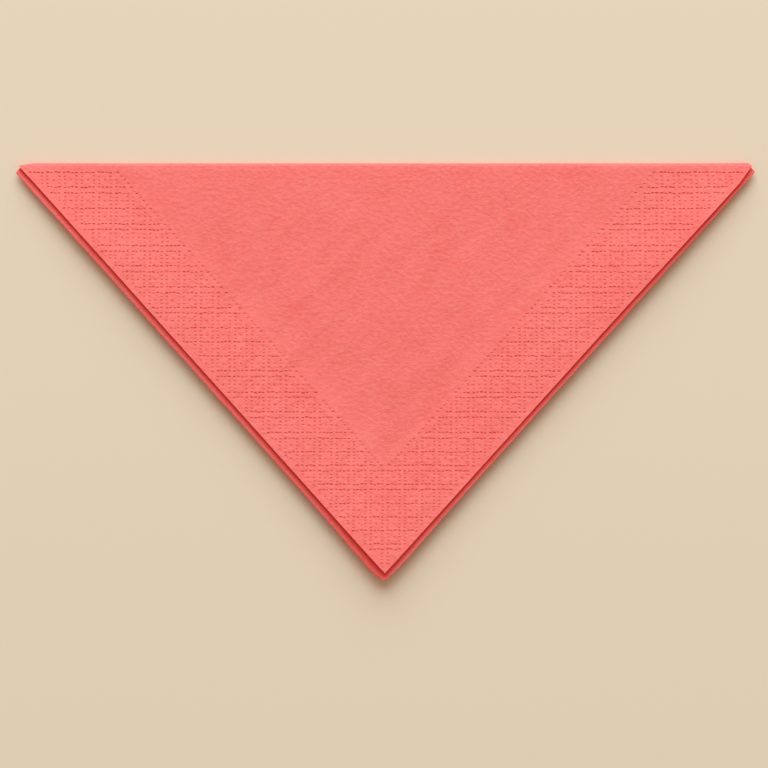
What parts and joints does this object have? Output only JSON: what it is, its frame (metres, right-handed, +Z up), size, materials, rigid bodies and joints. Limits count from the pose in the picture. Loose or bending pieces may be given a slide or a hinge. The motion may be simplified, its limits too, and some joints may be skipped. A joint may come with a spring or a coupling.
{
  "type": "folded paper napkin",
  "caption": "Square tissue napkin folded in quarters and once more on the diagonal into a flat triangle, with an embossed border along its two short sides.",
  "frame": {"origin": "middle of the napkin's outline, seen from above, on the surface that it lies on", "axes": "+X along the long folded side, +Y from the napkin's point towards the long folded side, +Z up through the layers, out of the embossed face"},
  "size_m": [0.221, 0.1262, 0.0036],
  "materials": {
    "tissue": "matt, soft coral tissue with a faint fibre texture and a dotted embossed border"
  },
  "bodies": {
    "root": {"napkin": "tissue"}
  },
  "joints": []
}
